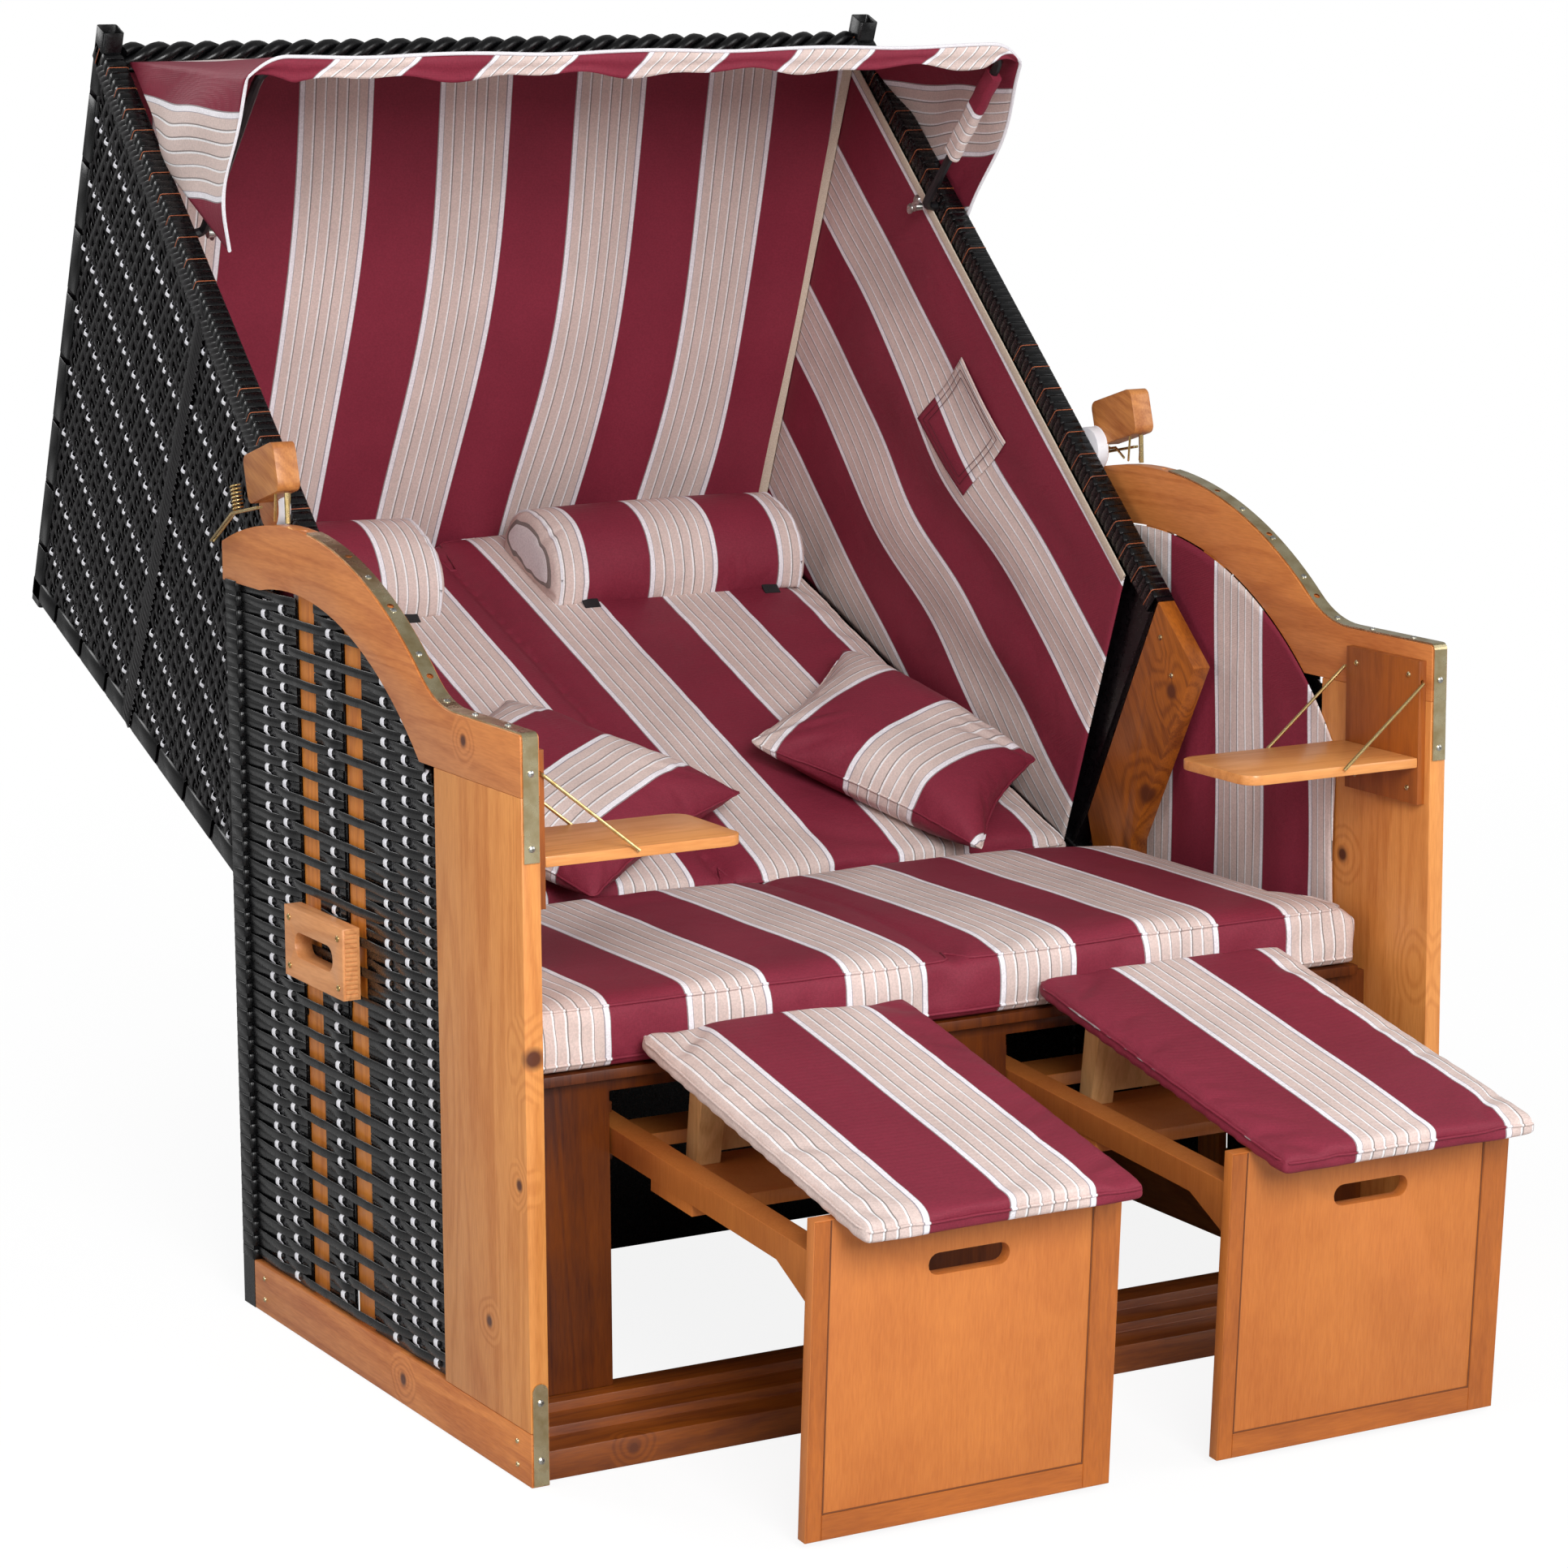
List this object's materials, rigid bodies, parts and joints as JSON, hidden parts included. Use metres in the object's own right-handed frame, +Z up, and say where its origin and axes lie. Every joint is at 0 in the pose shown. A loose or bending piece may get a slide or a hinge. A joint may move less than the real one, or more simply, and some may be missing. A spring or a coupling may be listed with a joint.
{
  "type": "hooded beach chair",
  "caption": "Hooded beach chair for two: wooden base with padded seat, footrest drawers and folding side tables, and a woven hood that tilts on two bolts, with an awning.",
  "frame": {"origin": "on the floor, at the middle of the underside of the front rail, halfway between the two side frames", "axes": "+X to the right of a viewer in front of the chair, +Y from the footrests to the back of the hood, +Z up"},
  "size_m": [1.2406, 1.9699, 1.5151],
  "materials": {
    "arm_board_l": "oiled reddish hardwood",
    "arm_board_r": "oiled reddish hardwood",
    "arm_strap_l": "yellow zinc-plated steel",
    "arm_strap_r": "yellow zinc-plated steel",
    "awning_bow": "black painted rod",
    "awning_cloth": "woven striped outdoor cloth, beige and maroon",
    "back_panel": "woven black plastic strands",
    "back_post_l": "woven black plastic strands",
    "back_post_r": "woven black plastic strands",
    "backrest": "woven striped outdoor cloth, maroon and beige",
    "bottom_rail_l": "oiled reddish hardwood",
    "bottom_rail_r": "oiled reddish hardwood",
    "carry_handle_l": "oiled reddish hardwood",
    "carry_handle_r": "oiled reddish hardwood",
    "footrest_board_l": "woven striped outdoor cloth, beige and maroon",
    "footrest_board_r": "woven striped outdoor cloth, beige and maroon",
    "footrest_frame_l": "oiled reddish hardwood",
    "footrest_frame_r": "oiled reddish hardwood",
    "footrest_prop_l": "oiled light wood",
    "footrest_prop_r": "oiled light wood",
    "front_post_l": "oiled reddish hardwood",
    "front_post_r": "oiled reddish hardwood",
    "front_rail": "oiled reddish hardwood",
    "hood_back": "woven black plastic strands",
    "hood_lining_l": "woven striped outdoor cloth, maroon and beige",
    "hood_lining_r": "woven striped outdoor cloth, maroon and beige",
    "hood_roof": "woven black plastic strands",
    "hood_side_l": "woven black plastic strands",
    "hood_side_r": "woven black plastic strands",
    "hood_top_rail": "woven black plastic strands",
    "lock_grip_l": "oiled light wood",
    "lock_grip_r": "oiled light wood",
    "lock_pin_l": "plain steel",
    "lock_pin_r": "plain steel",
    "lower_board_l": "oiled reddish hardwood",
    "lower_board_r": "oiled reddish hardwood",
    "neck_roll_l": "woven striped outdoor cloth, maroon and beige",
    "neck_roll_r": "woven striped outdoor cloth, maroon and beige",
    "pillow_l": "woven striped outdoor cloth, maroon and beige",
    "pillow_r": "woven striped outdoor cloth, maroon and beige",
    "pivot_bolt_l": "plain steel",
    "pivot_bolt_r": "plain steel",
    "roof_lining": "woven striped outdoor cloth, maroon and beige",
    "runner_frame_l": "oiled reddish hardwood",
    "runner_frame_r": "oiled reddish hardwood",
    "seat_cushion": "woven striped outdoor cloth, maroon and beige",
    "seat_deck": "oiled light wood",
    "seat_front_frame": "oiled reddish hardwood",
    "side_lining_l": "woven striped outdoor cloth, maroon and beige",
    "side_lining_r": "woven striped outdoor cloth, maroon and beige",
    "slats_l": "oiled reddish hardwood",
    "slats_r": "oiled reddish hardwood",
    "table_leaf_l": "oiled light wood",
    "table_leaf_r": "oiled light wood",
    "table_plate_l": "oiled reddish hardwood",
    "table_plate_r": "oiled reddish hardwood",
    "table_rods_l": "drawn brass wire",
    "table_rods_r": "drawn brass wire",
    "weave_panel_l": "woven black plastic strands",
    "weave_panel_r": "woven black plastic strands"
  },
  "bodies": {
    "base": {"arm_board_l": "arm_board_l", "arm_board_r": "arm_board_r", "front_post_l": "front_post_l", "front_post_r": "front_post_r", "bottom_rail_l": "bottom_rail_l", "bottom_rail_r": "bottom_rail_r", "back_post_l": "back_post_l", "back_post_r": "back_post_r", "weave_panel_l": "weave_panel_l", "weave_panel_r": "weave_panel_r", "slats_l": "slats_l", "slats_r": "slats_r", "side_lining_l": "side_lining_l", "side_lining_r": "side_lining_r", "arm_strap_l": "arm_strap_l", "arm_strap_r": "arm_strap_r", "carry_handle_l": "carry_handle_l", "carry_handle_r": "carry_handle_r", "pivot_bolt_l": "pivot_bolt_l", "pivot_bolt_r": "pivot_bolt_r", "table_plate_l": "table_plate_l", "table_plate_r": "table_plate_r", "runner_frame_l": "runner_frame_l", "runner_frame_r": "runner_frame_r", "seat_deck": "seat_deck", "seat_cushion": "seat_cushion", "front_rail": "front_rail", "seat_front_frame": "seat_front_frame", "back_panel": "back_panel"},
    "hood": {"hood_side_l": "hood_side_l", "hood_side_r": "hood_side_r", "lower_board_l": "lower_board_l", "lower_board_r": "lower_board_r", "hood_lining_l": "hood_lining_l", "hood_lining_r": "hood_lining_r", "neck_roll_l": "neck_roll_l", "neck_roll_r": "neck_roll_r", "hood_roof": "hood_roof", "hood_back": "hood_back", "hood_top_rail": "hood_top_rail", "roof_lining": "roof_lining", "backrest": "backrest"},
    "lock_l": {"lock_grip_l": "lock_grip_l", "lock_pin_l": "lock_pin_l"},
    "lock_r": {"lock_grip_r": "lock_grip_r", "lock_pin_r": "lock_pin_r"},
    "pillows": {"pillow_l": "pillow_l", "pillow_r": "pillow_r"},
    "awning": {"awning_bow": "awning_bow", "awning_cloth": "awning_cloth"},
    "drawer_l": {"footrest_frame_l": "footrest_frame_l"},
    "footrest_l": {"footrest_board_l": "footrest_board_l"},
    "prop_l": {"footrest_prop_l": "footrest_prop_l"},
    "leaf_l": {"table_leaf_l": "table_leaf_l"},
    "rods_l": {"table_rods_l": "table_rods_l"},
    "drawer_r": {"footrest_frame_r": "footrest_frame_r"},
    "footrest_r": {"footrest_board_r": "footrest_board_r"},
    "prop_r": {"footrest_prop_r": "footrest_prop_r"},
    "leaf_r": {"table_leaf_r": "table_leaf_r"},
    "rods_r": {"table_rods_r": "table_rods_r"}
  },
  "joints": [
    {"name": "hood_recline", "type": "hinge", "parent": "base", "child": "hood", "pos_m": [0, 0.5218, 0.4], "axis": [1, 0, 0], "range_deg": [0, 41]},
    {"name": "pillows_shift", "type": "hinge", "parent": "base", "child": "pillows", "pos_m": [0, 0.44139, 0.49089], "axis": [1, 0, 0], "range_deg": [0, 41]},
    {"name": "awning_fold", "type": "hinge", "parent": "hood", "child": "awning", "pos_m": [0, 0.96176, 1.27972], "axis": [-1, 0, 0], "range_deg": [0, 60], "deforming": ["awning_cloth"]},
    {"name": "lock_slide_l", "type": "slide", "parent": "hood", "child": "lock_l", "axis": [0, 0.0436, 0.999], "range_m": [0, 0.015], "stiffness_N_per_m": 400, "springref_m": -0.01},
    {"name": "drawer_slide_l", "type": "slide", "parent": "base", "child": "drawer_l", "axis": [0, -0.9977, -0.068], "range_m": [0, 0.07]},
    {"name": "footrest_lift_l", "type": "hinge", "parent": "drawer_l", "child": "footrest_l", "pos_m": [0, -0.41267, 0.35409], "axis": [1, 0, 0], "range_deg": [0, 70]},
    {"name": "prop_fold_l", "type": "hinge", "parent": "footrest_l", "child": "prop_l", "pos_m": [0, -0.04005, 0.41358], "axis": [-1, 0, 0], "range_deg": [0, 80]},
    {"name": "leaf_fold_l", "type": "hinge", "parent": "base", "child": "leaf_l", "pos_m": [-0.5674, 0, 0.671], "axis": [0, 1, 0], "range_deg": [0, 44]},
    {"name": "rods_fold_l", "type": "hinge", "parent": "base", "child": "rods_l", "pos_m": [-0.5727, 0, 0.772], "axis": [0, 1, 0], "range_deg": [0, 31]},
    {"name": "lock_slide_r", "type": "slide", "parent": "hood", "child": "lock_r", "axis": [0, 0.0436, 0.999], "range_m": [0, 0.015], "stiffness_N_per_m": 400, "springref_m": -0.01},
    {"name": "drawer_slide_r", "type": "slide", "parent": "base", "child": "drawer_r", "axis": [0, -0.9977, -0.068], "range_m": [0, 0.07]},
    {"name": "footrest_lift_r", "type": "hinge", "parent": "drawer_r", "child": "footrest_r", "pos_m": [0, -0.41267, 0.35409], "axis": [1, 0, 0], "range_deg": [0, 70]},
    {"name": "prop_fold_r", "type": "hinge", "parent": "footrest_r", "child": "prop_r", "pos_m": [0, -0.04005, 0.41358], "axis": [-1, 0, 0], "range_deg": [0, 80]},
    {"name": "leaf_fold_r", "type": "hinge", "parent": "base", "child": "leaf_r", "pos_m": [0.5674, 0, 0.671], "axis": [0, -1, 0], "range_deg": [0, 44]},
    {"name": "rods_fold_r", "type": "hinge", "parent": "base", "child": "rods_r", "pos_m": [0.5727, 0, 0.772], "axis": [0, -1, 0], "range_deg": [0, 31]}
  ],
  "couplings": [
    {"joint": "pillows_shift", "follows": "hood_recline", "ratio": 1},
    {"joint": "rods_fold_l", "follows": "leaf_fold_l", "ratio": 0.7},
    {"joint": "rods_fold_r", "follows": "leaf_fold_r", "ratio": 0.7}
  ]
}
